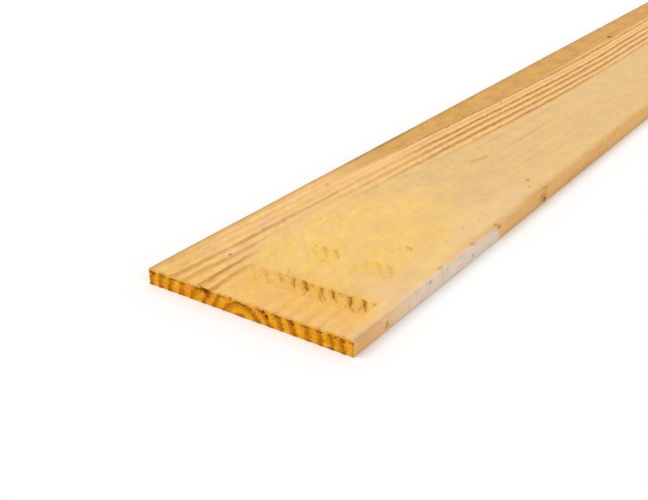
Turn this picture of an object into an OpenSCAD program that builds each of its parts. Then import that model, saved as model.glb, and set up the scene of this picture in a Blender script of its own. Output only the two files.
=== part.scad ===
// Pine board: one length of dressed, flat-sawn softwood.
// Width runs along X, length along Y and thickness along Z.
// The origin is the centre of the bottom face, so the board lies on Z = 0.

/* [Board] */
// Dressed width, across the grain
board_w = 290; // [90:1:400]
// Dressed thickness
board_t = 21; // [12:0.5:50]
// Length along the grain, between two square cuts
board_l = 2400; // [300:10:6000]

/* [Edges] */
// Radius to which the planer eases the four long arrises
arris_r = 1.5; // [0.5:0.1:5]

/* [Hidden] */
// Number of sides drawn for a full circle of the arris radius
arris_sides = 48;

// Cross-section as planed: a rectangle standing on Z = 0, with its four corners eased
module section() {
    flat_w = board_w - 2 * arris_r;
    flat_t = board_t - 2 * arris_r;
    translate([-flat_w / 2, 0])
        square([flat_w, board_t]);
    translate([-board_w / 2, arris_r])
        square([board_w, flat_t]);
    for (x = [-flat_w / 2, flat_w / 2], y = [arris_r, board_t - arris_r])
        translate([x, y])
            circle(r = arris_r, $fn = arris_sides);
}

// The whole piece of stock, cut square at both ends
module board() {
    color("burlywood")
        translate([0, board_l / 2, 0])
            rotate([90, 0, 0])
                linear_extrude(height = board_l)
                    section();
}

board();
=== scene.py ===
"""Pine board: the looks of one length of dressed, flat-sawn softwood.

The board lies on Z = 0 with its length along Y and its width along X, and the sawn end that
faces -Y is the near end. Lengths are in metres.
"""
import math

import bpy
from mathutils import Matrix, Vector


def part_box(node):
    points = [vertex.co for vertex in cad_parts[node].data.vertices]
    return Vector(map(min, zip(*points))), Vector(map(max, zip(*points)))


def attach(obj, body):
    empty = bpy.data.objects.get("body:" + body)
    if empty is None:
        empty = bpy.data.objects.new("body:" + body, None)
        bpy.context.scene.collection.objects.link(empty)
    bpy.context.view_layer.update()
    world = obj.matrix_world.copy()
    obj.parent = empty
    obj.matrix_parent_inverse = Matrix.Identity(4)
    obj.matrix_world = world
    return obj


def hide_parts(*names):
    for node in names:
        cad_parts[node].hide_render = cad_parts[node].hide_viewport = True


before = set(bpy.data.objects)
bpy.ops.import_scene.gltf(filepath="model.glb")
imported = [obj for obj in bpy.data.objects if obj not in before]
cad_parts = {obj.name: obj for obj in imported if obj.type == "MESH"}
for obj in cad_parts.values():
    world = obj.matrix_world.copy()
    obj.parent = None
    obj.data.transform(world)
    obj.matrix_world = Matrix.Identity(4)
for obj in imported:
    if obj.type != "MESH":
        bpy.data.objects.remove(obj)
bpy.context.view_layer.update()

bl_info = {
    "name": "Pine Board",
    "version": (1, 0, 0),
    "blender": (4, 5, 0),
    "location": "3D View > Sidebar > Pine Board",
    "description": "Shapes and finishes a dressed, flat-sawn pine board, and lights it on a plain floor",
    "category": "Add Mesh",
}

MM = 0.001
NODE = "board"
BODY = "root"
LOW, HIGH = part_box(NODE)
BOARD = HIGH - LOW
UV_MAP = "OFBake"


def tone(red, green, blue):
    """A colour as it looks on a screen, from 0 to 255, as the plain light that Blender mixes."""
    shares = (red / 255, green / 255, blue / 255)
    return tuple(s / 12.92 if s <= 0.04045 else ((s + 0.055) / 1.055) ** 2.4 for s in shares)


# ------------------------------------------------------------------------------- settings


def number_of(name, description, default, **settings):
    return bpy.props.FloatProperty(
        name=name, description=description, default=default, **settings)


def length_of(name, description, default, low=0.0):
    return number_of(name, description, default, min=low, unit="LENGTH", precision=4)


def place_of(name, description, default):
    return number_of(name, description, default, unit="LENGTH", precision=4)


def share_of(name, description, default):
    return number_of(name, description, default, min=0.0, max=1.0, subtype="FACTOR")


def count_of(name, description, default, low=1):
    return bpy.props.IntProperty(name=name, description=description, default=default, min=low)


def colour_of(name, description, *levels):
    return bpy.props.FloatVectorProperty(
        name=name, description=description, default=tone(*levels), size=3, min=0.0, max=1.0,
        subtype="COLOR")


class BoardSizes(bpy.types.PropertyGroup):
    """The size of the board and how finely its faces are divided"""

    width: length_of("Width", "Size across the grain", BOARD.x, 0.05)
    thickness: length_of("Thickness", "Size between the two planed faces", BOARD.z, 0.005)
    length: length_of("Length", "Size along the grain, between the sawn ends", BOARD.y, 0.3)
    arris: length_of("Arris Radius", "Rounding that the planer gives the long edges", 1.5 * MM)
    end_zone: length_of("End Zone", "Length at each end that is divided more finely", 0.34, 0.01)
    across: count_of("Cells Across", "Cells over the width", 176, 12)
    through: count_of("Cells Through", "Cells over the thickness", 15, 8)
    along: count_of("Cells Along", "Cells over the length", 236, 40)
    arris_cells: count_of("Cells In Arris", "Cells over each rounded edge", 3)
    end_cells: count_of("Cells In End Zone", "Cells over each end zone", 70)


class LogGrain(bpy.types.PropertyGroup):
    """Where in the log the board was cut, and how far its grain stands up"""

    ring_width: length_of("Ring Width", "Growth of the log in one year", 15.75 * MM, 0.5 * MM)
    pith_across: place_of("Pith Across", "The pith's place over the width", -4.5 * MM)
    pith_height: place_of("Pith Height", "The pith's place over the underside", -11.4 * MM)
    pith_drift: place_of("Pith Drift", "How far the pith wanders across along the log", 33 * MM)
    taper: share_of("Taper", "Share by which the rings narrow from the butt up", 0.19)
    fray: length_of("Fray", "How far fibres stray over the rings' edges", 14 * MM)
    relief: length_of("Grain Relief", "How far soft wood lies below hard wood", 0.3 * MM)
    end_relief: length_of("End Relief", "How deep the saw tore the soft end grain", 0.45 * MM)
    chip: length_of("Chip Depth", "Deepest chip along the edges of the sawn ends", 1.3 * MM)
    seed: count_of("Seed", "Picks another board from the same log", 7, 0)


class PineColours(bpy.types.PropertyGroup):
    """The colours of the wood and of what has marked it, two of which also paint shade along the bottom
    edges
    """

    soft_face: colour_of("Soft Wood", "Spring wood on a planed face", 231, 192, 131)
    bright_face: colour_of("Bright Wood", "Spring wood between strong lines", 247, 198, 132)
    golden_face: colour_of("Golden Wood", "Resin-rich wood near the near end", 244, 201, 119)
    amber_face: colour_of("Amber Wood", "Wood that dried fast at the near end", 245, 192, 109)
    pale_face: colour_of("Pale Wood", "Drier wood beside the right edge", 238, 199, 142)
    # Outer Wood also colours the painted shade along the bottom of the narrow edges.
    outer_face: colour_of("Outer Wood", "Darker wood of the outermost rings", 220, 167, 93)
    hard_face: colour_of("Hard Wood", "Summer wood on a planed face", 183, 121, 34)
    edge_face: colour_of("Edge Wood", "Planed wood of the narrow edges", 240, 187, 122)
    grime: colour_of("Grime", "What handling leaves on the left arris", 142, 122, 66)
    soft_end: colour_of("Soft End Grain", "Spring wood on a sawn end", 244, 173, 41)
    red_end: colour_of("Red End Grain", "Spring wood with resin on a sawn end", 236, 142, 30)
    dry_end: colour_of("Dry End Grain", "Drier patches on a sawn end", 248, 180, 82)
    yellow_end: colour_of("Yellow End Grain", "Yellower patches on a sawn end", 216, 154, 12)
    worn_end: colour_of("Worn End Grain", "The worn top arris of a sawn end", 250, 196, 108)
    hard_end: colour_of("Hard End Grain", "Summer wood on a sawn end", 168, 92, 6)
    # Dark End Grain also paints the contact shadow along the bottom arris of a sawn end.
    dark_end: colour_of("Dark End Grain", "Torn fibres along the sawn edges", 104, 50, 0)
    knot: colour_of("Knot", "The heart of a pin knot", 100, 34, 4)
    mark: colour_of("Batten Stroke", "What the stain of a batten lets through", 178, 154, 66)
    wash: colour_of("Batten Wash", "Resin drawn up under a drying batten", 238, 174, 58)
    resin: colour_of("Resin Streak", "Resin that has bled along the grain", 214, 156, 72)
    scuff: colour_of("Dry Smear", "Pale dust dried on the right edge", 238, 221, 203)
    rubbed: colour_of("Rubbed Smear", "Where the dust was rubbed off in dashes", 200, 146, 122)
    cool_scuff: colour_of("Thick Smear", "The same dust where it lies thick", 222, 216, 201)


class StudioStage(bpy.types.PropertyGroup):
    """The camera, the lamps and the floor"""

    lens: number_of("Lens", "Focal length of the camera", 53.2, unit="CAMERA")
    azimuth: number_of("Camera Azimuth", "Turn of the camera about the board",
                       math.radians(34.59), subtype="ANGLE")
    elevation: number_of("Camera Elevation", "Angle of the camera above the floor",
                         math.radians(25.99), subtype="ANGLE")
    camera_across: place_of("Camera Across", "The camera's place over the width", 0.599)
    camera_back: place_of("Camera Back", "How far the camera stands before the near end", 0.7125)
    camera_height: place_of("Camera Height", "The camera's place over the floor", 0.5364)
    sky: number_of("Soft Light", "Share of the light that comes from all round", 0.65, min=0.0)
    key: number_of("Key Light", "Share of the light that comes from the key lamp", 0.29, min=0.0)
    fill: number_of("Fill Light", "Share of the light that comes from the fill lamp", 0.07, min=0.0)


# ------------------------------------------------------------------------ building node trees


def feed(tree, socket, value):
    """Gives a socket a plain value, or links it to what works the value out."""
    if isinstance(value, Term):
        value = value.socket
    if isinstance(value, bpy.types.NodeSocket):
        tree.links.new(value, socket)
    elif socket.type == "RGBA" and len(value) == 3:
        socket.default_value = (*value, 1.0)
    else:
        socket.default_value = value


def add(tree, kind, settings=None, inputs=None):
    """Adds a node, with its settings by name and its inputs by name or number."""
    node = tree.nodes.new(kind)
    node.location = (180 * (len(tree.nodes) // 8), -160 * (len(tree.nodes) % 8))
    for name, value in (settings or {}).items():
        setattr(node, name, value)
    for key, value in (inputs or {}).items():
        feed(tree, node.inputs[key], value)
    return node


def by(operation):
    """A method that adds one Math node."""
    return lambda term, *others: term.maths(operation, *others)


class Term:
    """A number that a node tree works out. Arithmetic on it adds Math nodes to that tree."""

    def __init__(self, tree, socket):
        self.tree = tree
        self.socket = socket

    def maths(self, operation, *others):
        inputs = dict(enumerate((self, *others)))
        node = add(self.tree, "ShaderNodeMath", {"operation": operation}, inputs)
        return Term(self.tree, node.outputs[0])

    __add__ = __radd__ = by("ADD")
    __sub__ = by("SUBTRACT")
    __mul__ = __rmul__ = by("MULTIPLY")
    __truediv__ = by("DIVIDE")
    __pow__ = by("POWER")
    size = by("ABSOLUTE")
    least = by("MINIMUM")
    most = by("MAXIMUM")
    above = by("GREATER_THAN")

    def __rsub__(self, other):
        return self * -1.0 + other

    def rise(self, low, high):
        """0 below low and 1 above high, with a smooth rise between them."""
        inputs = {"Value": self, "From Min": low, "From Max": high}
        node = add(self.tree, "ShaderNodeMapRange", {"interpolation_type": "SMOOTHSTEP"}, inputs)
        return Term(self.tree, node.outputs["Result"])

    def fall(self, low, high):
        return 1.0 - self.rise(low, high)


def join(tree, x, y, z):
    node = add(tree, "ShaderNodeCombineXYZ", inputs={"X": x, "Y": y, "Z": z})
    return node.outputs["Vector"]


def split(tree, vector):
    node = add(tree, "ShaderNodeSeparateXYZ", inputs={"Vector": vector})
    return [Term(tree, node.outputs[name]) for name in "XYZ"]


def noise(tree, place, per_metre, detail=2.0, roughness=0.5, seed=0.0):
    """Smooth random values round 0.5, with this many features per metre along X, Y and Z."""
    stretched = add(tree, "ShaderNodeVectorMath", {"operation": "MULTIPLY"}, {0: place, 1: per_metre})
    settings = {"noise_dimensions": "4D"}
    inputs = {"Vector": stretched.outputs[0], "W": seed, "Scale": 1.0,
              "Detail": detail, "Roughness": roughness}
    return Term(tree, add(tree, "ShaderNodeTexNoise", settings, inputs).outputs["Fac"])


def luck(tree, number):
    """A random value from 0 to 1 for each whole number."""
    settings = {"noise_dimensions": "1D"}
    node = add(tree, "ShaderNodeTexWhiteNoise", settings, {"W": number})
    return Term(tree, node.outputs["Value"])


def between(tree, share, under, over):
    """A number between under and over."""
    inputs = {"Factor": share, "A": under, "B": over}
    return Term(tree, add(tree, "ShaderNodeMix", {"data_type": "FLOAT"}, inputs).outputs["Result"])


def coat(tree, share, under, over, blend_type="MIX"):
    """The colour under, covered by the colour over to a share from 0 to 1."""
    node = add(tree, "ShaderNodeMix", {"data_type": "RGBA", "blend_type": blend_type})
    feed(tree, node.inputs["Factor"], share)
    for socket, colour in zip([s for s in node.inputs if s.type == "RGBA"], (under, over)):
        feed(tree, socket, colour)
    return next(s for s in node.outputs if s.type == "RGBA")


def shaded(tree, colour, red, green, blue):
    """A colour with its red, green and blue each multiplied by a number."""
    shares = add(tree, "ShaderNodeCombineColor", inputs={0: red, 1: green, 2: blue})
    return coat(tree, 1.0, colour, shares.outputs["Color"], "MULTIPLY")


def bumps(tree, height, distance):
    return add(tree, "ShaderNodeBump", inputs={"Distance": distance, "Height": height}).outputs["Normal"]


def put_out(tree, outputs, values):
    """Feeds a group's outputs by name."""
    for name, value in values.items():
        feed(tree, outputs[name], value)


def terms(tree, outputs):
    return {socket.name: Term(tree, socket) for socket in outputs}


def new_group(kind, name, given, made):
    """A node group with these inputs and outputs, as {name: (socket type, default)}."""
    tree = bpy.data.node_groups.new(name, kind)
    for in_out, sockets in (("INPUT", given), ("OUTPUT", made)):
        for label, (sort, default) in sockets.items():
            socket = tree.interface.new_socket(name=label, in_out=in_out, socket_type=sort)
            if default is not None:
                socket.default_value = default
    start = add(tree, "NodeGroupInput")
    return tree, terms(tree, start.outputs), add(tree, "NodeGroupOutput").inputs


def use_group(tree, group, inputs):
    """Places a node group in a tree, and returns its outputs by name."""
    kind = tree.bl_idname.replace("NodeTree", "NodeGroup")
    return terms(tree, add(tree, kind, {"node_tree": group}, inputs).outputs)


NUMBER = "NodeSocketFloat"
VECTOR = "NodeSocketVector"
WHOLE = "NodeSocketInt"
GEOMETRY = "NodeSocketGeometry"
MATERIAL = "NodeSocketMaterial"


def numbers(*names):
    """Sockets for plain numbers."""
    return dict.fromkeys(names, (NUMBER, None))


def sockets_for(*groups):
    """A tree input for every setting of these property groups, with its kind and default."""
    kinds = {int: WHOLE, float: NUMBER}
    settings = [made.keywords for group in groups for made in group.__annotations__.values()]
    return {s["name"]: (kinds[type(s["default"])], s["default"]) for s in settings}


def values_of(*groups):
    """The value of every setting of these groups, under the name of its tree input."""
    return {made.keywords["name"]: getattr(group, key)
            for group in groups for key, made in type(group).__annotations__.items()}


# ------------------------------------------------------------------- the log and its rings

# Pin knots, resin flecks and bruises: place across, place from the near end, height, radius, and
# how dark each is.
SPOTS = (
    (-0.0575, 0.0, 0.017, 0.0054, 1.0),
    (-0.0615, 0.0, 0.018, 0.004, 0.9),
    (-0.0535, 0.0, 0.0176, 0.004, 0.9),
    (-0.055, 0.0, 0.0128, 0.0042, 0.6),
    (0.031, 0.0, 0.0122, 0.0026, 1.0),
    (0.032, 0.0, 0.0098, 0.0022, 0.9),
    (0.0265, 0.0, 0.016, 0.0028, 0.7),
    (-0.02, 0.0, 0.019, 0.0028, 0.55),
    (0.066, 0.0, 0.014, 0.0034, 0.6),
    (0.122, 0.0, 0.0165, 0.0026, 0.6),
    (-0.088, 0.083, 0.021, 0.0019, 0.75),
    (-0.058, 0.232, 0.021, 0.0013, 0.6),
    (-0.016, 0.162, 0.021, 0.0012, 0.6),
    (0.079, 0.427, 0.021, 0.0014, 0.45),
    (0.11, 0.515, 0.021, 0.003, 0.45),
    (0.122, 0.492, 0.021, 0.002, 0.28),
    (0.139, 0.196, 0.021, 0.003, 0.28),
    (0.141, 0.277, 0.021, 0.0036, 0.34),
    (0.14, 0.346, 0.021, 0.003, 0.34),
    (0.145, 0.067, 0.0055, 0.0023, 0.5),
    (0.145, 0.067, 0.0085, 0.0022, 0.5),
    (0.145, 0.067, 0.011, 0.0019, 0.42),
    (0.145, 0.163, 0.018, 0.0022, 0.45),
    (0.145, 0.273, 0.007, 0.0022, 0.35),
    (0.145, 0.346, 0.019, 0.003, 0.5),
    (0.145, 0.497, 0.006, 0.0042, 0.7),
    (0.145, 0.491, 0.0115, 0.008, 0.34),
    (0.142, 0.503, 0.021, 0.004, 0.28),
    (-0.095, 1.43, 0.021, 0.005, 1.0),
    (0.064, 1.905, 0.021, 0.0036, 0.9),
    (0.035, 0.82, 0.0, 0.006, 1.0),
    (-0.07, 1.69, 0.0, 0.0045, 0.9),
)
SPOT_STRETCH = 0.5
# The rings bend round a spot over this many of its radii.
SPOT_REACH = 5.0
# The rings narrow fast over this length of the butt, and hold their size above it. The pith
# wanders across between two places along the log, and each kind of wave moves the rings this far.
BUTT = 0.25
DRIFT = (0.2, 1.3)
WAVE = 7 * MM
# Wet years: the rings near this radius are wider, and this far inside and outside they even out.
WIDE_RING = 108 * MM
WIDE_REACH = 40 * MM
WIDENING = 3.3 * MM
# The wood past this dark ring is darker, and the rings before it grew weak summer wood.
OUTER_RING = 136 * MM
WEAK_RING = 117 * MM
# The top face counts from the first of these heights, and in full from the second.
TOP_HEIGHTS = (6 * MM, 19 * MM)

RING_SETTINGS = ("Width", "Length", "Ring Width", "Taper", "Pith Across", "Pith Height",
                 "Pith Drift", "Fray", "Seed")
RING_OUTPUTS = numbers("Butt Radius", "Hard Wood", "Figure", "Spot", "Clear", "From Near End")


def spot_distance(x, along, z, spot):
    """Distance from a spot's middle, in spot radii, shortened along the grain."""
    across, from_near, height, radius = spot[:4]
    squares = ((x - across) ** 2.0, ((along - from_near) * SPOT_STRETCH).size() ** 2.0,
               (z - height).size() ** 2.0)
    return sum(squares) ** 0.5 / radius


def clear_zone(x, along):
    """The middle of the top, planed tangent to the rings, where hardly any grain shows."""
    shore = along.fall(0.02, 0.17) * 0.05 + along.rise(0.27, 0.36) * 0.026 + along.rise(0.38, 0.48) * 0.007
    shore = shore + (along - 0.36).most(0.0).least(0.5) * 0.1
    return (x - shore).rise(-0.102, -0.078)


def spots_at(x, along, z, ragged):
    """How dark the spots are at a place, and how far they push the rings outwards."""
    dark = along * 0.0
    swelling = along * 0.0
    for spot in SPOTS:
        radius, depth = spot[3:]
        distance = spot_distance(x, along, z, spot)
        dark = dark.most((distance + ragged * 1.6).fall(0.15, 1.35) * depth)
        swelling = swelling.most(distance.fall(0.0, SPOT_REACH) * (radius * depth))
    return dark, swelling


def waved_radius(tree, place, g, x, along, z, patchy, swelling):
    """Distance from the pith, with the rings' waves, their bulges at spots, and stray fibres."""
    seed = g["Seed"]
    pith = along.rise(*DRIFT) * g["Pith Drift"] + g["Pith Across"]
    across = x - pith
    above = z - g["Pith Height"]
    drift = (noise(tree, place, (14.0, 1.7, 14.0), 1.0, seed=seed) - 0.5) * WAVE
    ripple = (noise(tree, place, (100.0, 9.0, 100.0), 3.0, 0.6, seed + 3.0) - 0.5) * WAVE
    fray = noise(tree, place, (380.0, 75.0, 380.0), 2.0, 0.6, seed + 4.0) - 0.5
    fray = fray * (patchy * 0.9 + 0.35) * (1.0 - along.rise(0.3, 0.8) * 0.45)
    return (across ** 2.0 + above ** 2.0) ** 0.5 + drift + ripple + swelling + fray * g["Fray"]


def summer_wood(tree, g, butt_radius, patchy):
    """Hard wood builds up through each year and stops short at its end."""
    widening = (butt_radius - WIDE_RING).size().fall(0.0, WIDE_REACH) * WIDENING
    ring = (butt_radius - widening) / g["Ring Width"]
    year = ring.maths("FLOOR")
    part = ring - year
    vigour = luck(tree, year + g["Seed"]) * 0.2 + 0.55 + patchy * 0.3
    return part.rise(0.22, 0.72) * part.fall(0.81, 1.0) * vigour


def ring_figure(tree, g, x, along, z, butt_radius, border, clear):
    """How plainly the rings show on each face: hardly where the face was planed along them."""
    weak = butt_radius.rise(WEAK_RING - 3 * MM, WEAK_RING + 4 * MM) * (1.0 - border)
    inner = butt_radius.fall(44 * MM, 62 * MM)
    plain = clear * (0.92 - along.fall(0.02, 0.09) * 0.20)
    top_figure = (1.0 - plain) * (1.0 - weak * 0.62) * (1.0 - inner * 0.6)
    on_edge = (g["Width"] * 0.5 - x.size()).fall(0.5 * MM, 2 * MM)
    edge_figure = x.fall(-0.1, 0.0) * 0.35 + 0.2
    wide_figure = between(tree, z.rise(*TOP_HEIGHTS), 0.7, top_figure)
    return between(tree, on_edge, wide_figure, edge_figure)


def growth_rings(kind):
    """How hard the wood is at a place in the log. The same group serves shapes and materials."""
    defaults = sockets_for(BoardSizes, LogGrain)
    settings = {name: (NUMBER, float(defaults[name][1])) for name in RING_SETTINGS}
    inputs = {"Place": (VECTOR, None), **settings}
    tree, g, made = new_group(kind, "growth_rings", inputs, RING_OUTPUTS)
    place = g["Place"]
    x, y, z = split(tree, place)
    along = y + g["Length"] * 0.5

    ragged = noise(tree, place, (420.0, 170.0, 420.0), 2.0, 0.6, g["Seed"] + 5.0) - 0.5
    patchy = noise(tree, place, (110.0, 13.0, 110.0), 3.0, 0.6, g["Seed"] + 7.0).rise(0.25, 0.6)
    dark, swelling = spots_at(x, along, z, ragged)
    girth = (along * (-1 / BUTT)).maths("EXPONENT") * g["Taper"] + (1.0 - g["Taper"])
    butt_radius = waved_radius(tree, place, g, x, along, z, patchy, swelling) / girth
    border = (butt_radius - OUTER_RING).size().fall(1 * MM, 5 * MM) * along.rise(0.40, 0.52)
    border_line = border * (0.9 - along.rise(0.60, 0.66) * 0.4)
    hard = summer_wood(tree, g, butt_radius, patchy).most(border_line)
    clear = clear_zone(x, along)
    put_out(tree, made, {
        "Butt Radius": butt_radius,
        "Hard Wood": hard.least(1.0),
        "Figure": ring_figure(tree, g, x, along, z, butt_radius, border, clear),
        "Spot": dark,
        "Clear": clear,
        "From Near End": along,
    })
    return tree


# ------------------------------------------------------------------------ the board's shape

FINISHES = ("Planed Material", "Sawn Material")
END_GRADING = 1.6
SHARP_EDGE = math.radians(38)
ALMOST = 0.999
# How fast the saw's marks turn over the width and the height, in radians per metre.
SAW_TURNS = (610.0, 240.0)
MAP_MARGIN = 0.005
# The six sides of the unwrapped board: side's axis and sign, and the strip of the map it fills.
MAP_STRIPS = (
    ("Z", 1, 0.005, 0.385),
    ("Z", -1, 0.395, 0.655),
    ("X", 1, 0.665, 0.725),
    ("X", -1, 0.735, 0.795),
    ("Y", -1, 0.805, 0.895),
    ("Y", 1, 0.905, 0.995),
)


def graded(even, cells, edge_cells, half, edge, power=1.0):
    """Moves an even grid place, from -0.5 to 0.5, so that the edge zone holds edge_cells cells."""
    far = even.size()
    inner = 0.5 - edge_cells / cells
    inside = far.least(inner) / inner * (half - edge)
    left = ((0.5 - far) / (0.5 - inner)).least(1.0).most(0.0)
    return even.maths("SIGN") * (inside + (1.0 - left ** power) * edge)


def change(tree, kind, mesh, inputs=None, settings=None):
    """Passes a mesh through a node, and returns what comes out."""
    inputs = {"Geometry": mesh, **(inputs or {})}
    return add(tree, kind, settings, inputs).outputs["Geometry"]


def map_places(tree, mesh, x, y, z, size):
    """Lays the six sides out as strips of a map, each with the board's length or width along it."""
    normal = split(tree, add(tree, "GeometryNodeInputNormal").outputs["Normal"])
    facing = dict(zip("XYZ", normal))
    width, thickness, length = size
    across = x / width + 0.5
    through = z / thickness + 0.5
    along = y / length + 0.5
    runs = {"X": (along, through), "Y": (across, through), "Z": (along, across)}
    places = [along * 0.0, along * 0.0]
    for axis, sign, low, high in MAP_STRIPS:
        here = (facing[axis] * sign).above(0.5)
        run, rise = runs[axis]
        places[0] = places[0] + here * (run * (1.0 - 2 * MAP_MARGIN) + MAP_MARGIN)
        places[1] = places[1] + here * (rise * (high - low) + low)
    return change(tree, "GeometryNodeStoreNamedAttribute", mesh,
                  {"Name": UV_MAP, "Value": join(tree, *places, 0.0)},
                  {"data_type": "FLOAT2", "domain": "CORNER"})


def rounded(x, z, half_width, half_thickness, arris):
    """Draws the corners of the square section in to an arc, round the flat core inside it.

    Returns the new places, the way straight out from the core, and how far out each place lies.
    """
    core_x = x.least(half_width - arris).most(arris - half_width)
    core_z = z.least(half_thickness - arris).most(arris - half_thickness)
    out_x = x - core_x
    out_z = z - core_z
    reach = out_x.size().most(out_z.size())
    length = (out_x ** 2.0 + out_z ** 2.0) ** 0.5 + 1e-9
    way_x = out_x / length
    way_z = out_z / length
    return (core_x + way_x * reach, core_z + way_z * reach + half_thickness), (way_x, way_z), reach


def saw_marks(x, z, wander):
    return (x * SAW_TURNS[0] + z * SAW_TURNS[1] + wander).maths("SINE")


def worn_depths(tree, g, place, x, z, from_end):
    """How deep the long sides and the ends lie under a smooth block: soft grain, saw and chips."""
    rings = use_group(tree, growth_rings("GeometryNodeTree"), {
        "Place": place, **{name: g[name] for name in RING_SETTINGS}, "Fray": 0.0})
    soft = 1.0 - rings["Hard Wood"]
    fibre = noise(tree, place, (340.0, 9.0, 340.0), 2.0, seed=g["Seed"] + 11.0)
    ragged = noise(tree, place, (230.0, 230.0, 60.0), 2.0, 0.6, seed=g["Seed"] + 17.0)
    chip = ragged.rise(0.54, 0.70) * g["Chip Depth"]
    from_face = z.least(g["Thickness"] - z)
    saw = saw_marks(x, z, fibre * 4.0) * 0.5 + 0.5

    side = soft * rings["Figure"] * g["Grain Relief"] + fibre * 0.25 * g["Grain Relief"]
    side = side + rings["Spot"] * 0.3 * MM + chip * 0.45 * from_end.fall(0.0, 5 * MM)
    end = soft * g["End Relief"] + saw * 0.1 * MM + rings["Spot"] * 0.6 * MM
    end = end + chip * from_face.fall(0.0, 3.2 * MM)
    return side, end


def finished(tree, g, mesh):
    """Smooth faces, creased where they meet the sawn ends, with their two materials."""
    angle = Term(tree, add(tree, "GeometryNodeInputMeshEdgeAngle").outputs["Unsigned Angle"])
    normal = split(tree, add(tree, "GeometryNodeInputNormal").outputs["Normal"])
    mesh = change(tree, "GeometryNodeSetShadeSmooth", mesh, settings={"domain": "FACE"})
    mesh = change(tree, "GeometryNodeSetShadeSmooth", mesh,
                  {"Selection": angle.above(SHARP_EDGE), "Shade Smooth": False}, {"domain": "EDGE"})
    mesh = change(tree, "GeometryNodeRealizeInstances", mesh)
    mesh = change(tree, "GeometryNodeSetMaterial", mesh, {"Material": g["Planed Material"]})
    return change(tree, "GeometryNodeSetMaterial", mesh, {
        "Selection": normal[1].size().above(0.6), "Material": g["Sawn Material"]})


def shape_tree():
    """The board as a closed grid: rounded long edges, raised grain, and chipped sawn ends."""
    inputs = {**sockets_for(BoardSizes, LogGrain), **dict.fromkeys(FINISHES, (MATERIAL, None))}
    made = {"Board": (GEOMETRY, None)}
    tree, g, result = new_group("GeometryNodeTree", "pine_board_shape", inputs, made)
    tree.is_modifier = True
    blank = add(tree, "GeometryNodeMeshCube", inputs={
        "Vertices X": g["Cells Across"] + 1.0,
        "Vertices Y": g["Cells Along"] + 1.0,
        "Vertices Z": g["Cells Through"] + 1.0,
    }).outputs["Mesh"]
    even = split(tree, add(tree, "GeometryNodeInputPosition").outputs["Position"])

    half_width = g["Width"] * 0.5
    half_thickness = g["Thickness"] * 0.5
    half_length = g["Length"] * 0.5
    arris = g["Arris Radius"]
    x = graded(even[0], g["Cells Across"], g["Cells In Arris"], half_width, arris)
    y = graded(even[1], g["Cells Along"], g["Cells In End Zone"], half_length, g["End Zone"],
               END_GRADING)
    z = graded(even[2], g["Cells Through"], g["Cells In Arris"], half_thickness, arris)
    (round_x, round_z), (way_x, way_z), reach = rounded(x, z, half_width, half_thickness, arris)
    on_long_side = reach.above(arris * ALMOST)
    on_end = even[1].size().above(0.5 * ALMOST)

    place = join(tree, round_x, y, round_z)
    side, end = worn_depths(tree, g, place, round_x, round_z, half_length - y.size())
    side = side * on_long_side
    new_x = round_x - way_x * side
    new_y = y - y.maths("SIGN") * end * on_end
    new_z = round_z - way_z * side
    mapped = map_places(tree, blank, x, y, z, (g["Width"], g["Thickness"], g["Length"]))
    shaped = change(tree, "GeometryNodeSetPosition", mapped, {
        "Position": join(tree, new_x, new_y, new_z)})
    feed(tree, result["Board"], finished(tree, g, shaped))
    return tree


def new_object(name, data):
    """An object in the scene, of this mesh, lamp or camera."""
    made = bpy.data.objects.new(name, data)
    bpy.context.scene.collection.objects.link(made)
    return made


def grow(name, tree, values):
    """Runs a shape tree with these values and returns what it makes as a plain mesh object."""
    piece = new_object(name, bpy.data.meshes.new(name))
    modifier = piece.modifiers.new(name, "NODES")
    modifier.node_group = tree
    for socket in tree.interface.items_tree:
        if socket.in_out == "INPUT":
            modifier[socket.identifier] = values[socket.name]
    evaluated = piece.evaluated_get(bpy.context.evaluated_depsgraph_get())
    mesh = bpy.data.meshes.new_from_object(evaluated)
    piece.modifiers.clear()
    piece.data = mesh
    mesh.name = name
    return piece


# ------------------------------------------------------------------------- shared finishes


def wood_fibre():
    """Fine fibres along the grain, seen from the side or end on, and the resin canals in them."""
    given = {"Place": (VECTOR, None), "Seed": (NUMBER, 0.0)}
    made = numbers("Fibre", "Strand", "Canal")
    tree, g, result = new_group("ShaderNodeTree", "wood_fibre", given, made)
    place, seed = g["Place"], g["Seed"]
    canal = noise(tree, place, (1500.0, 90.0, 1500.0), 0.0, 0.5, seed + 9.0)
    put_out(tree, result, {
        "Fibre": noise(tree, place, (1300.0, 16.0, 1300.0), 3.0, 0.6, seed),
        "Strand": noise(tree, place, (260.0, 3.5, 260.0), 2.0, 0.5, seed + 5.0),
        "Canal": canal.rise(0.74, 0.82),
    })
    return tree


def handled_edges():
    """Grime on the long edges, and the fibres that the saw tore along the edges of the ends."""
    given = {"Place": (VECTOR, None), "Width": (NUMBER, BOARD.x), "Thickness": (NUMBER, BOARD.z),
             "Length": (NUMBER, BOARD.y), "Seed": (NUMBER, 0.0)}
    made = numbers("Grime", "Torn", "From Side")
    tree, g, result = new_group("ShaderNodeTree", "handled_edges", given, made)
    place, seed = g["Place"], g["Seed"]
    x, y, z = split(tree, place)
    side = g["Width"] * 0.5 - x.size()
    face = z.least(g["Thickness"] - z)
    end = g["Length"] * 0.5 - y.size()
    uneven = noise(tree, place, (200.0, 34.0, 200.0), 3.0, 0.6, seed=seed)
    ragged = noise(tree, place, (250.0, 210.0, 60.0), 3.0, 0.65, seed=seed + 2.0)
    grime = (side + face + uneven * 5 * MM).fall(3.2 * MM, 6.4 * MM) * uneven.fall(0.52, 0.76)
    torn = (face.most(end) + ragged * 13 * MM).fall(4.8 * MM, 7.8 * MM)
    put_out(tree, result, {"Grime": grime, "Torn": torn, "From Side": side})
    return tree


def shared_groups():
    """The node groups that both materials use, each built once."""
    return growth_rings("ShaderNodeTree"), wood_fibre(), handled_edges()


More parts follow.
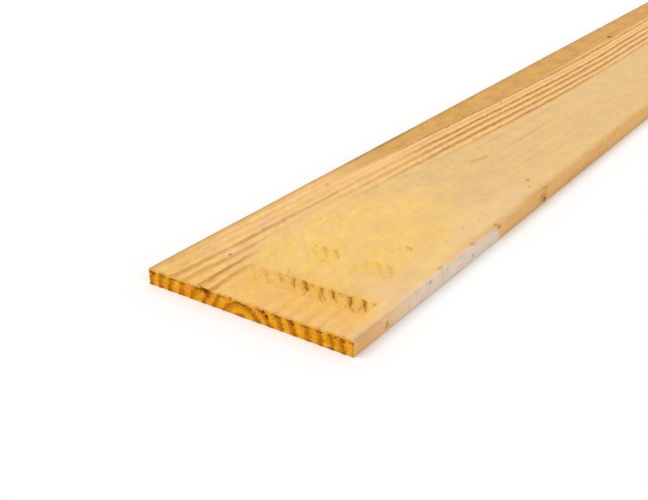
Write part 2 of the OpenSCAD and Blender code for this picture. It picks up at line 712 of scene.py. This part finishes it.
def new_material(name):
    material = bpy.data.materials.new(name)
    material.use_nodes = True
    tree = material.node_tree
    return material, tree, next(n for n in tree.nodes if n.type == "BSDF_PRINCIPLED")


class Wood:
    """A material in the making: its nodes, the place on the board, and what the groups find there."""

    def __init__(self, name, groups, values, colours):
        self.material, self.tree, self.shader = new_material(name)
        self.place = add(self.tree, "ShaderNodeTexCoord").outputs["Object"]
        self.x, _, self.z = split(self.tree, self.place)
        self.colours = colours
        self.seed = float(values["Seed"])
        known = {**values, "Place": self.place, "Seed": self.seed}
        self.found = {}
        for group in groups:
            needs = [s.name for s in group.interface.items_tree if s.in_out == "INPUT"]
            self.found.update(use_group(self.tree, group, {name: known[name] for name in needs}))
        self.along = self["From Near End"]
        self.side = self["From Side"]

    def __getitem__(self, name):
        return self.found[name]

    def top(self):
        """1 on the top face, and 0 down the narrow edges and on the underside."""
        return self.z.rise(*TOP_HEIGHTS)

    def noise(self, per_metre, draw, detail=3.0, roughness=0.6):
        """Smooth random values. Another draw gives others."""
        return noise(self.tree, self.place, per_metre, detail, roughness, self.seed + draw)

    def drawn_noise(self, across, along, detail, roughness, draw):
        """Smooth random values that run the way the strokes do."""
        drawn = join(self.tree, *slanted(self.x, self.along), 0.0)
        return noise(self.tree, drawn, (across, along, 1.0), detail, roughness, self.seed + draw)

    def paint(self, colour, name, share, blend_type="MIX"):
        """A colour covered by one of the board's own, to a share from 0 to 1."""
        return coat(self.tree, share, colour, getattr(self.colours, name), blend_type)

    def coats(self, colour, **shares):
        """A colour covered in turn by several of the board's own, each to its own share."""
        for name, share in shares.items():
            colour = self.paint(colour, name, share)
        return colour

    def finish(self, colour, rough, height, depth, specular):
        """Feeds the shader, with bumps of this depth, and returns the material."""
        inputs = self.shader.inputs
        feed(self.tree, inputs["Base Color"], colour)
        feed(self.tree, inputs["Roughness"], rough)
        feed(self.tree, inputs["Normal"], bumps(self.tree, height, depth))
        inputs["Specular IOR Level"].default_value = specular
        return self.material


# ------------------------------------------------------------------------ the planed faces

# Battens lay across the board while it dried: the middle of each from the near end, half its
# width, where it began and ended over the width, the length over which its marks grow from the
# left, and how strongly it marked the board. The second was hollow, so it touched in two places.
BATTENS = (
    (0.063, 0.015, -0.055, 0.124, 0.100, 1.0),
    (0.149, 0.018, -0.014, 0.028, 0.010, 0.34),
    (0.149, 0.018, 0.056, 0.108, 0.012, 0.27),
)
STROKE_PITCH = 14.5 * MM
STROKE_TURN = math.radians(40)
# Resin streaks: place across, place from the near end, half the width, half the length, how far
# it leans, and how dark it is.
STREAKS = (
    (0.0145, 0.553, 0.0046, 0.026, 0.22, 0.65),
    (0.028, 0.705, 0.0034, 0.110, 0.04, 0.46),
    (-0.009, 0.633, 0.0028, 0.062, 0.03, 0.30),
    (0.002, 0.794, 0.0028, 0.058, 0.03, 0.26),
    (-0.013, 0.485, 0.0024, 0.050, 0.00, 0.24),
    (0.010, 0.467, 0.0022, 0.026, 0.00, 0.26),
)
# Distances from the side where the narrow edge's colour ends, and where the top's rims fade.
EDGE_BAND = (0.7 * MM, 1.6 * MM)
RIM_BAND = (3 * MM, 16 * MM)


def slanted(x, along):
    """The place across the strokes, and the place along them."""
    across_strokes = x * math.cos(STROKE_TURN) + along * math.sin(STROKE_TURN)
    along_strokes = along * math.cos(STROKE_TURN) - x * math.sin(STROKE_TURN)
    return across_strokes, along_strokes


def batten_strokes(wood, batten):
    """Slanting strokes, as a batten's rough face leaves them. Each starts thin and ends in a blot."""
    middle, half = batten[:2]
    own = wood.seed + middle * 100
    ragged = noise(wood.tree, wood.place, (240.0, 170.0, 1.0), 3.0, 0.65, own + 21.0) - 0.5
    bend = (noise(wood.tree, wood.place, (60.0, 60.0, 1.0), 1.0, 0.5, own + 22.0) - 0.5) * 8 * MM
    number = (slanted(wood.x, wood.along)[0] + bend) / STROKE_PITCH + 0.5
    stroke = number.maths("FLOOR")
    chance = luck(wood.tree, stroke + own)
    other = luck(wood.tree, stroke + own + 0.5)
    run = (wood.along - middle) / half + ragged * 0.9
    off = (number - stroke - 0.5 + (chance - 0.5) * 0.25).size() * STROKE_PITCH + ragged * 3.0 * MM
    thick = (run.rise(-0.6, 0.8) * (other * 1.1 + 0.4) - 0.2 + ragged * 4.0) * MM
    line = (off - thick).fall(0.0, 2.2 * MM) * (1.25 + ragged * 4.0) * (run.rise(-1.0, 0.5) * 0.4 + 0.6)
    halo = off.fall(1.5 * MM, 6.0 * MM) * run.rise(-0.8, 0.4)
    begin = other * -1.1
    shown = run.rise(begin - 0.2, begin + 0.2) * (chance * 0.5 + 0.6)
    return (line.most(halo * 0.34) * shown).least(1.0), halo * shown


def batten_marks(wood):
    """The stained strokes under the battens, and the resin wash round them."""
    ragged = wood.noise((110.0, 110.0, 1.0), 23.0)
    smut = wood.drawn_noise(170.0, 80.0, 3.0, 0.6, 24.0).rise(0.53, 0.64)
    marks = wood.x * 0.0
    washes = wood.x * 0.0
    for batten in BATTENS:
        middle, half, low, high, growth, strength = batten
        span = wood.x.rise(low - 8 * MM, low + growth) * 0.75 + wood.x.rise(low - 8 * MM, low) * 0.25
        span = span * wood.x.fall(high - 3 * MM, high + 4 * MM)
        off = (wood.along - middle).size() + (ragged - 0.5) * 16 * MM
        inside = off.fall(half - 3 * MM, half + 4 * MM) * span * strength
        rim = (off - half).size().fall(0.4 * MM, 2.6 * MM) * ragged.rise(0.50, 0.60) * span
        lines, halo = batten_strokes(wood, batten)
        marks = marks.most(inside * lines * span).most(inside * smut * (0.95 - strength * 0.4))
        marks = marks.most(rim * strength * 0.22)
        haze = off.fall(half, half + 34 * MM) * span * 0.3
        washes = washes.most(inside * (0.65 + halo * 0.35)).most(haze * strength)
    return marks, washes


def resin_streaks(wood):
    ragged = wood.noise((260.0, 60.0, 1.0), 27.0, 2.0) - 0.5
    dark = wood.x * 0.0
    for across, from_near, half_width, half_length, lean, strength in STREAKS:
        slid = wood.along - from_near
        side = (wood.x - across - slid * lean) / half_width + ragged * 2.5
        dark = dark.most((side ** 2.0 + (slid / half_length).size() ** 2.0).fall(0.1, 1.4) * strength)
    return dark


def drag_flecks(wood):
    """Small dark dents, drawn out the way the boards were dragged over each other."""
    where = wood.drawn_noise(14.0, 14.0, 1.0, 0.5, 62.0)
    return wood.drawn_noise(100.0, 40.0, 2.0, 0.6, 61.0).rise(0.59, 0.75) * where.rise(0.46, 0.62)


def dry_smear(wood):
    """Pale dust on the right edge, which creeps a little way over the arris."""
    patchy = wood.noise((90.0, 34.0, 90.0), 31.0)
    creep = wood.side + patchy * 9 * MM
    ends = (wood.along + patchy * 0.08).rise(0.03, 0.22) * (wood.along + wood.z * 0.7).fall(0.345, 0.362)
    reach = wood.along.rise(0.06, 0.13) * wood.along.fall(0.20, 0.38) * 7 * MM + 6.5 * MM
    thin = 0.95 - wood.side.rise(0.5 * MM, 3 * MM) * 0.3
    smear = creep.fall(3.5 * MM, reach) * ends * (0.6 + patchy.rise(0.30, 0.55) * 0.4) * thin
    return smear * wood.x.above(0.0)


def dust_colour(wood):
    """Dust with faint patches of other hues, cooler where it is thick, and rubbed off in dashes."""
    patches = [wood.noise((50.0, 38.0, 50.0), 34.0 + channel) for channel in range(3)]
    thick = wood.noise((60.0, 30.0, 60.0), 33.0).rise(0.40, 0.62) * wood.along.rise(0.10, 0.24)
    dust = wood.paint(wood.colours.scuff, "cool_scuff", thick)
    dust = shaded(wood.tree, dust, *((patch - 0.5) * 0.35 + 1.0 for patch in patches))
    dash = wood.noise((45.0, 170.0, 45.0), 36.0, 2.0).rise(0.54, 0.66)
    return wood.paint(dust, "rubbed", dash * wood.along.fall(0.16, 0.30) * 0.5)


def face_colour(wood, cloud):
    """The wood of the planed faces before anything marked it."""
    x, along, top = wood.x, wood.along, wood.top()
    mottle = wood.noise((34.0, 14.0, 34.0), 41.0)
    shift = (mottle - 0.5) * 0.9 + (cloud - 0.5) * 0.5
    centre = (((x - 0.016) / 0.115) ** 2.0 + ((along - 0.185) / 0.220).size() ** 2.0) ** 0.5
    right_rim = wood.side.fall(*RIM_BAND) * x.above(0.0)
    amber = (along + shift * 0.06).fall(0.035, 0.105) * top * (1.0 - right_rim * 0.75)
    pale = (x + shift * 0.05).rise(0.055, 0.12) * along.fall(0.35, 0.6)
    golden = (centre + shift).fall(0.45, 1.25) * top
    bright = (1.0 - wood["Clear"]) * top * (0.75 + mottle * 0.3) * (1.0 - amber * 0.7)
    return wood.coats(wood.colours.soft_face, pale_face=pale, golden_face=golden,
                      amber_face=amber * 0.85, bright_face=bright)


def outer_wood(wood, cloud):
    """The darker wood outside the last strong ring, and along the rim of the top face."""
    fade = wood.along.rise(0.85, 1.3) * 16 * MM + 5 * MM
    outside = ((wood["Butt Radius"] - OUTER_RING) / fade).rise(0.0, 1.0)
    outside = outside * wood.along.rise(0.28, 0.53) * wood.x.fall(-0.03, 0.0) * (0.75 + cloud * 0.5)
    rim = wood.side.fall(*RIM_BAND) * wood.top() * wood.x.rise(0.0, 0.1)
    return outside.most(rim * wood.along.rise(0.05, 0.5) * 0.7)


def clean_wood(wood):
    """The planed wood with its rings, on the wide faces and on the narrow edges, with painted shade along
    the bottom of the narrow edges.
    """
    x, along = wood.x, wood.along
    cloud = wood.noise((8.0, 3.0, 8.0), 43.0, 2.0, 0.5)
    outer = outer_wood(wood, cloud)
    patch = wood.noise((70.0, 26.0, 70.0), 38.0).rise(0.40, 0.64)
    colour = wood.coats(face_colour(wood, cloud), outer_face=outer, hard_face=outer * patch * 0.3)
    # Painted shade: the lower part of each narrow edge, past the near zone, is darkened with the outer
    # wood's colour.
    low_edge_shade = (wood.z + cloud * 6 * MM).fall(5 * MM, 12 * MM) * along.rise(0.33, 0.38)
    edge = wood.paint(wood.colours.edge_face, "outer_face", along.rise(0.33, 0.40) * 0.3)
    edge = wood.paint(edge, "outer_face", low_edge_shade * 0.5)
    colour = coat(wood.tree, wood.side.fall(*EDGE_BAND), colour, edge)
    strong = 0.64 + along.rise(0.46, 0.60) * 0.38 + x.rise(-0.095, -0.075) * along.fall(0.35, 0.55) * 0.1
    strong = strong - x.fall(-0.080, -0.062) * along.rise(0.28, 0.36) * along.fall(0.48, 0.62) * 0.32
    plain = 1.0 - outer * (0.85 - along.rise(0.8, 1.1) * 0.4)
    return wood.paint(colour, "hard_face", wood["Hard Wood"] * wood["Figure"] * plain * strong)


def fine_tint(wood, colour):
    """Adds small lights and darks, and small patches with more or less yellow."""
    along = wood.along
    fleck = wood.noise((210.0, 85.0, 210.0), 45.0, 3.0, 0.7) - 0.5
    flush = wood.noise((75.0, 45.0, 75.0), 47.0) - 0.5
    blotch = wood.noise((36.0, 24.0, 36.0), 46.0, 2.0, 0.5) - 0.5
    near = along.fall(0.15, 0.5) * 0.6 + 0.4
    slur = (wood.drawn_noise(80.0, 32.0, 3.0, 0.55, 50.0) - 0.5) * near
    calm = 1.0 - wood["Clear"] * (along.fall(0.38, 0.46) * 0.35 + 0.45)
    tint = (wood["Fibre"] + wood["Strand"] - 1.0) * 0.14 * calm + fleck * 0.16
    tint = tint + blotch * 0.2 + slur * (0.26 - wood.x.rise(-0.03, 0.05) * 0.12)
    tint = tint - wood["Canal"] * wood["Hard Wood"] * 0.18
    yellow = (fleck * 0.15 + flush * 1.1) * near + slur * 0.2 + blotch * 0.4
    green = tint * 1.15 + yellow * 0.10 + 1.0
    return shaded(wood.tree, colour, tint + 1.0, green, tint * 2.0 - yellow + 1.0)


def left_grime(wood, colour):
    """Darker wood and grime along the left side of the top face, and grime on every arris."""
    along, side, top = wood.along, wood.side, wood.top()
    left = wood.x.fall(-0.10, -0.02)
    patchy = wood.noise((60.0, 34.0, 60.0), 48.0)
    outer = side.fall(1 * MM, 12 * MM) * along.fall(0.48, 0.56) * left * top * 0.85
    far = along.rise(0.36, 0.44) * (0.45 + along.fall(0.56, 0.66) * 0.4) * top
    shade = side.fall(4.5 * MM, 9 * MM) * patchy.rise(0.30, 0.58) * far
    dirt = along.rise(0.36, 0.44) * along.fall(0.52, 0.62) * 0.22 + 0.13
    dirt = dirt * side.fall(3 * MM, 8 * MM) * top
    grime = (wood["Grime"] * (left * 0.85 + 0.12)).most(shade.most(dirt) * left)
    return wood.coats(colour, outer_face=outer, grime=grime)


def flaws(wood, colour):
    """Torn fibres, nicks in the edges, drying checks near the left corner, and pin knots."""
    colour = wood.paint(colour, "hard_end", wood["Torn"] * (0.3 + wood["Hard Wood"] * 0.6))
    nick = wood.noise((600.0, 130.0, 180.0), 49.0, 2.0).rise(0.66, 0.76)
    colour = wood.paint(colour, "hard_face", nick * wood.side.fall(*EDGE_BAND) * 0.35)
    check = wood.noise((260.0, 11.0, 260.0), 37.0, 3.0, 0.65).rise(0.59, 0.66)
    check = check * wood.along.fall(0.04, 0.24) * wood.x.fall(-0.10, -0.02) * wood.top()
    colour = wood.paint(colour, "hard_end", check * 0.55)
    spot = wood["Spot"] * wood.along.rise(4 * MM, 20 * MM)
    colour = wood.paint(colour, "mark", (spot * 1.6).least(1.0), "MULTIPLY")
    return wood.paint(colour, "knot", spot.rise(0.45, 0.95) * 0.9)


def planed_material(groups, values, colours):
    wood = Wood("planed_pine", groups, values, colours)
    top = wood.top()
    marks, washes = batten_marks(wood)
    flecks = drag_flecks(wood) * top
    smear = dry_smear(wood)
    colour = wood.paint(clean_wood(wood), "wash", (washes * top).least(1.0) * 0.9)
    colour = fine_tint(wood, colour)
    colour = wood.paint(colour, "resin", resin_streaks(wood) * top)
    colour = wood.paint(colour, "mark", (marks * top).least(1.0), "MULTIPLY")
    colour = wood.paint(colour, "mark", flecks * 0.45, "MULTIPLY")
    colour = coat(wood.tree, smear, colour, dust_colour(wood))
    colour = flaws(wood, left_grime(wood, colour))

    rough = 0.62 + (wood["Fibre"] - 0.5) * 0.2 - wood["Hard Wood"] * 0.10 + smear * 0.2
    height = wood["Fibre"] * 0.5 + wood["Strand"] * 0.6 + wood["Hard Wood"] * wood["Figure"]
    height = height - marks * 0.8 - flecks
    return wood.finish(colour, rough - washes * 0.1, height, depth=0.22 * MM, specular=0.08)


# --------------------------------------------------------------------------- the sawn ends

# The saw broke the fibres just under the top arris, and along the bottom one, where the dark line is also
# painted contact shadow.
TOP_TEAR = 4.0 * MM
BOTTOM_TEAR_AND_SHADE = 0.8 * MM


def end_grain(wood, mottle):
    """Spring and summer wood cut across, with patches of more resin and of drier wood."""
    cloud = wood.noise((70.0, 60.0, 60.0), 52.0, 2.0, 0.5)
    patch = wood.noise((110.0, 60.0, 150.0), 54.0, 3.0, 0.65)
    return wood.coats(
        wood.colours.soft_end, red_end=cloud.rise(0.42, 0.66) * 0.75,
        dry_end=patch.rise(0.50, 0.66) * 0.75, yellow_end=patch.fall(0.36, 0.50) * 0.65,
        hard_end=wood["Hard Wood"] * (0.35 + mottle * 0.9))


def sawn_material(groups, values, colours):
    wood = Wood("sawn_pine", groups, values, colours)
    x, z, hard, fibre = wood.x, wood.z, wood["Hard Wood"], wood["Fibre"]
    mottle = wood.noise((230.0, 120.0, 190.0), 51.0, 3.0, 0.65)
    angle = (z - values["Pith Height"]).maths("ARCTAN2", x - values["Pith Across"])
    ray_place = join(wood.tree, angle, 0.0, wood["Butt Radius"])
    rays = noise(wood.tree, ray_place, (60.0, 1.0, 40.0), 2.0, 0.6, wood.seed + 53.0)

    from_top = values["Thickness"] - z
    rough_edge = (mottle - 0.5) * 9 * MM
    top_stain = ((from_top - TOP_TEAR).size() + rough_edge).fall(0.4 * MM, 2.8 * MM)
    # Painted contact shadow mixed with torn fibres: the dark line along the bottom arris of the end, which
    # the stain below also holds.
    bottom_stain_and_shade = ((z - BOTTOM_TEAR_AND_SHADE).size() + rough_edge).fall(0.2 * MM, 2.6 * MM)
    bottom_stain_and_shade = bottom_stain_and_shade * (0.5 + x.size().rise(0.07, 0.12) * 0.5)
    stain = top_stain.most(bottom_stain_and_shade) * (0.16 + hard * 0.84)
    colour = wood.paint(end_grain(wood, mottle), "dark_end", stain * 0.66)
    tint = (mottle - 0.5) * 0.6 + (rays - 0.5) * 0.5 + (fibre - 0.5) * 0.3
    colour = shaded(wood.tree, colour, tint * 0.9 + 1.0, tint * 1.35 + 1.0, tint * 2.0 + 1.0)
    worn = (from_top + rough_edge).fall(1.2 * MM, 3.4 * MM) * 0.8
    colour = wood.coats(colour, worn_end=worn, dark_end=wood["Torn"] * 0.25, knot=wood["Spot"])

    height = hard + fibre * 0.8 + saw_marks(x, z, mottle * 9.0) * 0.25
    return wood.finish(colour, 0.82 + (fibre - 0.5) * 0.2, height, depth=0.3 * MM, specular=0.0)


# -------------------------------------------------------------------------------- operators


class PINE_OT_make_board(bpy.types.Operator):
    """Shape the pine board, finish its planed faces and sawn ends, and set it in place"""

    bl_idname = "pine.make_board"
    bl_label = "Make Board"

    def execute(self, context):
        values = values_of(context.scene.pine_sizes, context.scene.pine_grain)
        colours = context.scene.pine_colours
        groups = shared_groups()
        values["Planed Material"] = planed_material(groups, values, colours)
        values["Sawn Material"] = sawn_material(groups, values, colours)
        board = grow("pine_board", shape_tree(), values)
        if not board.data.polygons:
            raise RuntimeError("the shape tree made no board")
        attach(board, BODY)
        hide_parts(NODE)
        return {"FINISHED"}


FLOOR_SIZE = 40.0
FLOOR_GAP = 0.2 * MM
FLOOR_GREY = (0.85, 0.85, 0.85)
WHITE = (1.0, 1.0, 1.0)
SENSOR_WIDTH = 36.0
KEY_TOWARDS = (-0.42, -0.50, 1.0)
FILL_TOWARDS = (1.0, -0.35, 0.6)
LAMP_SPREAD = math.radians(40)


def plainly_seen(tree):
    """1 where the camera sees a thing directly, in a reflection or through glass."""
    path = add(tree, "ShaderNodeLightPath").outputs
    seen = Term(tree, path["Is Camera Ray"]).most(path["Is Glossy Ray"])
    return seen.most(path["Is Transmission Ray"])


def floor_material():
    """Pale and matt. The camera sees it white where no shadow falls."""
    material, tree, shader = new_material("studio_floor")
    feed(tree, shader.inputs["Base Color"], coat(tree, plainly_seen(tree), FLOOR_GREY, WHITE))
    shader.inputs["Roughness"].default_value = 1.0
    shader.inputs["Specular IOR Level"].default_value = 0.0
    return material


def make_floor():
    half = FLOOR_SIZE / 2
    corners = ((-half, -half), (half, -half), (half, half), (-half, half))
    mesh = bpy.data.meshes.new("studio_floor")
    mesh.from_pydata([(x, y, -FLOOR_GAP) for x, y in corners], [], [(0, 1, 2, 3)])
    mesh.materials.append(floor_material())
    floor = new_object("studio_floor", mesh)


def make_world(strength):
    """Even white light from all round. What the camera sees past the floor is plain white."""
    world = bpy.data.worlds.new("studio_light")
    world.use_nodes = True
    tree = world.node_tree
    background = next(n for n in tree.nodes if n.type == "BACKGROUND")
    background.inputs["Color"].default_value = (*WHITE, 1.0)
    feed(tree, background.inputs["Strength"], between(tree, plainly_seen(tree), strength, 1.0))
    bpy.context.scene.world = world


def aim_from(thing, direction):
    """Turns a lamp to shine, or a camera to look, from this direction."""
    thing.rotation_mode = "QUATERNION"
    thing.rotation_quaternion = direction.to_track_quat("Z", "Y")


def make_lamp(name, share, towards):
    """One wide, soft lamp far off in that direction, as bright on the floor as its share."""
    lamp = bpy.data.lights.new(name, "SUN")
    towards = Vector(towards).normalized()
    lamp.energy = share * math.pi / towards.z
    lamp.angle = LAMP_SPREAD
    aim_from(new_object(name, lamp), towards)


def make_camera(stage):
    data = bpy.data.cameras.new("camera")
    data.lens = stage.lens
    data.sensor_width = SENSOR_WIDTH
    camera = new_object("camera", data)
    camera.location = (stage.camera_across, LOW.y - stage.camera_back, stage.camera_height)
    flat = math.cos(stage.elevation)
    back = Vector((math.sin(stage.azimuth) * flat, -math.cos(stage.azimuth) * flat,
                   math.sin(stage.elevation)))
    aim_from(camera, back)
    bpy.context.scene.camera = camera


class PINE_OT_set_stage(bpy.types.Operator):
    """Set a camera, soft studio light and a plain pale floor round the board"""

    bl_idname = "pine.set_stage"
    bl_label = "Set Stage"

    def execute(self, context):
        stage = context.scene.pine_stage
        context.scene.view_settings.view_transform = "Standard"
        make_floor()
        make_world(stage.sky)
        make_lamp("key_light", stage.key, KEY_TOWARDS)
        make_lamp("fill_light", stage.fill, FILL_TOWARDS)
        make_camera(stage)
        return {"FINISHED"}


class PINE_PT_board(bpy.types.Panel):
    """Sizes, grain, colours and stage of the pine board"""

    bl_label = "Pine Board"
    bl_idname = "PINE_PT_board"
    bl_space_type = "VIEW_3D"
    bl_region_type = "UI"
    bl_category = "Pine Board"

    def draw(self, context):
        for heading, name in SETTINGS.items():
            box = self.layout.box()
            box.label(text=heading)
            group = getattr(context.scene, name)
            for setting in group.__annotations__:
                box.prop(group, setting)
        self.layout.operator(PINE_OT_make_board.bl_idname)
        self.layout.operator(PINE_OT_set_stage.bl_idname)


SETTINGS = {
    "Board": "pine_sizes",
    "Log and Grain": "pine_grain",
    "Colours": "pine_colours",
    "Stage": "pine_stage",
}
GROUPS = (BoardSizes, LogGrain, PineColours, StudioStage)
CLASSES = (*GROUPS, PINE_OT_make_board, PINE_OT_set_stage, PINE_PT_board)


def register():
    for cls in CLASSES:
        bpy.utils.register_class(cls)
    for name, cls in zip(SETTINGS.values(), GROUPS):
        setattr(bpy.types.Scene, name, bpy.props.PointerProperty(type=cls))


def unregister():
    for name in SETTINGS.values():
        delattr(bpy.types.Scene, name)
    for cls in reversed(CLASSES):
        bpy.utils.unregister_class(cls)


def main():
    register()
    bpy.ops.pine.make_board()
    bpy.ops.pine.set_stage()


if __name__ == "__main__":
    main()
